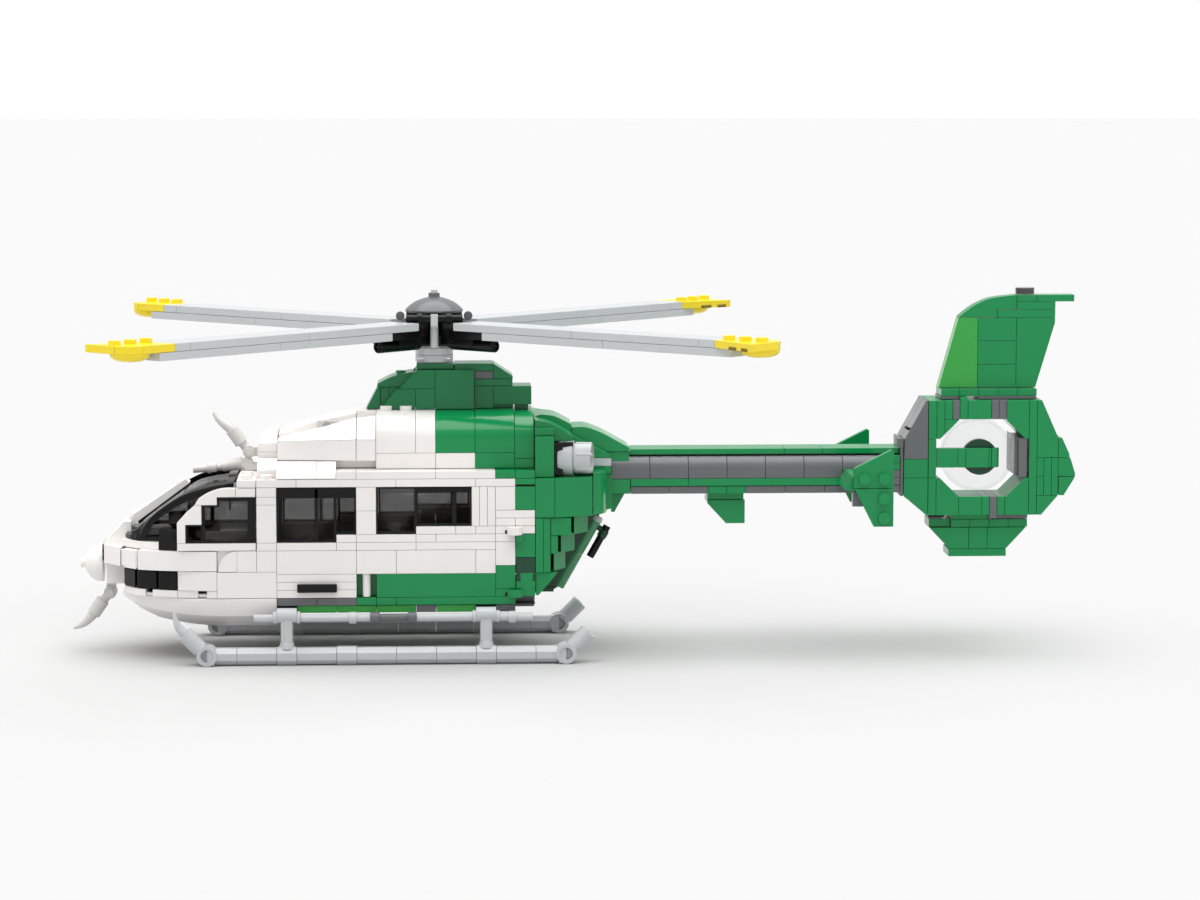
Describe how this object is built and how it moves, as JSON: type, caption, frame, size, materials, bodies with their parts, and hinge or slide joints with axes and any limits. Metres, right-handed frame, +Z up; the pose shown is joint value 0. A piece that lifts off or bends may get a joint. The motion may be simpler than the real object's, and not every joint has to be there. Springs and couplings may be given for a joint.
{
  "type": "toy helicopter",
  "caption": "Brick-built toy helicopter on skids, with a turning main rotor, a shrouded tail rotor, cockpit doors and rear clamshell doors that swing.",
  "frame": {"origin": "middle of the bounding box, on the ground under the skids", "axes": "nose towards -X, tail towards +X, left side towards -Y, +Z up"},
  "size_m": [0.413, 0.2632, 0.1486],
  "materials": {
    "white": "glossy moulded white plastic",
    "black": "glossy moulded black plastic",
    "dark_grey": "glossy moulded dark bluish grey plastic",
    "smoke": "clear smoke-tinted plastic",
    "green": "glossy moulded green plastic",
    "dark_green": "glossy moulded dark green plastic",
    "light_grey": "glossy moulded light bluish grey plastic",
    "yellow": "glossy moulded yellow plastic",
    "clear": "clear colourless plastic"
  },
  "bodies": {
    "airframe": {"nose_dome": "white", "front_shell": "white", "belly_hull": "white", "mid_door_left": "white", "mid_door_right": "white", "side_wall_left": "white", "side_wall_right": "white", "roof": "white", "cowl_front": "white", "upper_cutter": "white", "lower_cutter": "white", "probe": "white", "nose_band": "black", "windscreen_frame": "black", "landing_lamp": "dark_grey", "floor": "dark_grey", "cockpit_interior": "dark_grey", "beacon": "dark_grey", "windscreen_glass": "smoke", "mid_window_left": "smoke", "mid_window_right": "smoke", "aft_window_left": "smoke", "aft_window_right": "smoke", "lower_wall_left": "green", "lower_wall_right": "green", "cowl_rear": "green", "pylon": "green", "rear_body": "green", "boom": "green", "stabilizer_left": "green", "stabilizer_right": "green", "tail_ring": "green", "tail_arm": "green", "fin": "green", "rear_post": "dark_green", "exhaust_left": "light_grey", "exhaust_right": "light_grey", "skid_left": "light_grey", "skid_right": "light_grey", "skid_frame_left": "light_grey", "skid_frame_right": "light_grey", "mast": "light_grey"},
    "rotor": {"rotor_hub": "black", "rotor_cap": "dark_grey", "blade_1": "light_grey", "blade_2": "light_grey", "blade_3": "light_grey", "blade_4": "light_grey", "blade_tip_1": "yellow", "blade_tip_2": "yellow", "blade_tip_3": "yellow", "blade_tip_4": "yellow"},
    "tail_rotor": {"tail_rotor": "clear"},
    "rear_door_left": {"rear_door_left": "green"},
    "rear_door_right": {"rear_door_right": "green"},
    "cockpit_door_left": {"cockpit_door_left": "white", "cockpit_window_left": "smoke"},
    "cockpit_door_right": {"cockpit_door_right": "white", "cockpit_window_right": "smoke"}
  },
  "joints": [
    {"name": "main_rotor_spin", "type": "hinge", "parent": "airframe", "child": "rotor", "pos_m": [-0.05725, 0, 0.1326], "axis": [0, 0, 1], "continuous": true},
    {"name": "tail_rotor_spin", "type": "hinge", "parent": "airframe", "child": "tail_rotor", "pos_m": [0.16695, 0, 0.0791], "axis": [0, 1, 0], "continuous": true},
    {"name": "rear_door_left_swing", "type": "hinge", "parent": "airframe", "child": "rear_door_left", "pos_m": [-0.02505, -0.038, 0.042], "axis": [0, 0, -1], "range_deg": [0, 100]},
    {"name": "rear_door_right_swing", "type": "hinge", "parent": "airframe", "child": "rear_door_right", "pos_m": [-0.02505, 0.038, 0.042], "axis": [0, 0, 1], "range_deg": [0, 100]},
    {"name": "cockpit_door_left_swing", "type": "hinge", "parent": "airframe", "child": "cockpit_door_left", "pos_m": [-0.16105, -0.036, 0.058], "axis": [0, 0, -1], "range_deg": [0, 70]},
    {"name": "cockpit_door_right_swing", "type": "hinge", "parent": "airframe", "child": "cockpit_door_right", "pos_m": [-0.16105, 0.036, 0.058], "axis": [0, 0, 1], "range_deg": [0, 70]}
  ]
}
